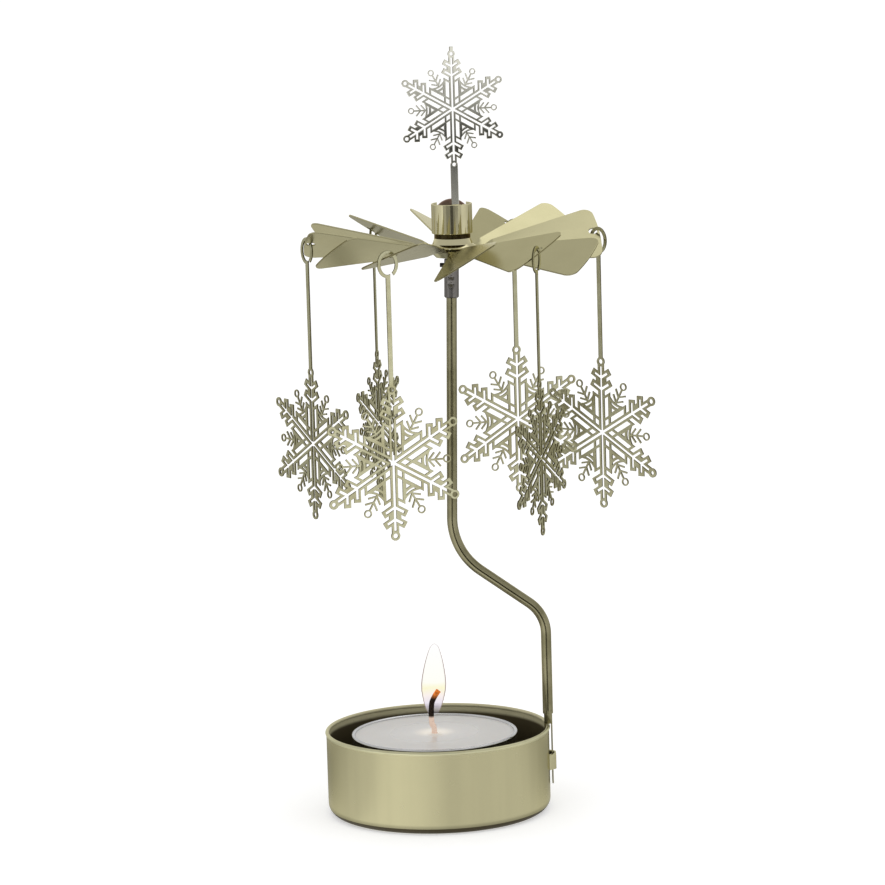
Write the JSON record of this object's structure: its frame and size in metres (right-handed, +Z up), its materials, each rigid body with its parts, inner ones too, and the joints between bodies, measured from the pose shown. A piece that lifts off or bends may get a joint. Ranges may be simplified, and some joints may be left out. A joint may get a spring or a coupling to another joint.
{
  "type": "rotating candle carousel",
  "caption": "Candle holder with a round cup for a tealight, a bent stem clipped to its rim and a vane wheel that turns on a needle and carries hanging pierced snowflakes.",
  "frame": {"origin": "centre of the candle cup's flat underside", "axes": "+Z up, parallel to the needle that the wheel turns on; +X towards the side of the cup that the stem is clipped to; -Y towards the viewer"},
  "size_m": [0.0872, 0.0847, 0.1772],
  "materials": {
    "brass": "polished, pale",
    "mirror_brass": "mirror polished, pale",
    "steel": "satin",
    "aluminium": "bright",
    "wax": "waxy",
    "wick": "charred"
  },
  "bodies": {
    "cup": {"candle_cup": "brass"},
    "stem": {"stem": "brass", "needle_sleeve": "steel", "pivot_needle": "steel", "cross_pin": "steel"},
    "tealight": {"tealight_shell": "aluminium", "wax": "wax", "wick_foot": "steel", "wick": "wick"},
    "rotor": {"vane_wheel": "brass", "hub_collar": "mirror_brass", "bearing_dome": "mirror_brass", "topper_snowflake": "mirror_brass"},
    "pendant_1": {"pendant_snowflake_1": "brass"},
    "pendant_2": {"pendant_snowflake_2": "brass"},
    "pendant_3": {"pendant_snowflake_3": "brass"},
    "pendant_4": {"pendant_snowflake_4": "brass"},
    "pendant_5": {"pendant_snowflake_5": "brass"},
    "pendant_6": {"pendant_snowflake_6": "brass"}
  },
  "joints": [
    {"name": "stem_lift", "type": "slide", "parent": "cup", "child": "stem", "axis": [0, 0, 1], "range_m": [0, 0.02]},
    {"name": "tealight_lift", "type": "slide", "parent": "cup", "child": "tealight", "axis": [0, 0, 1], "range_m": [0, 0.021]},
    {"name": "rotor_spin", "type": "hinge", "parent": "stem", "child": "rotor", "pos_m": [0.0066, 0, 0.1418], "axis": [0, 0, 1], "continuous": true},
    {"name": "pendant_1_swing", "type": "hinge", "parent": "rotor", "child": "pendant_1", "pos_m": [0.03989, 0.00226, 0.13171], "axis": [-0.6455, -0.7638, 0], "range_deg": [-12, 12]},
    {"name": "pendant_2_swing", "type": "hinge", "parent": "rotor", "child": "pendant_2", "pos_m": [0.02117, 0.03011, 0.13123], "axis": [0.4195, -0.9078, 0], "range_deg": [-12, 12]},
    {"name": "pendant_3_swing", "type": "hinge", "parent": "rotor", "child": "pendant_3", "pos_m": [-0.01181, 0.0278, 0.13144], "axis": [0.95, -0.3123, 0], "range_deg": [-12, 12]},
    {"name": "pendant_4_swing", "type": "hinge", "parent": "rotor", "child": "pendant_4", "pos_m": [-0.02664, -0.00172, 0.13162], "axis": [0.831, 0.5563, 0], "range_deg": [-12, 12]},
    {"name": "pendant_5_swing", "type": "hinge", "parent": "rotor", "child": "pendant_5", "pos_m": [-0.00805, -0.03005, 0.1312], "axis": [-0.3387, 0.9409, 0], "range_deg": [-12, 12]},
    {"name": "pendant_6_swing", "type": "hinge", "parent": "rotor", "child": "pendant_6", "pos_m": [0.0249, -0.02788, 0.13104], "axis": [-0.9259, 0.3778, 0], "range_deg": [-12, 12]}
  ]
}
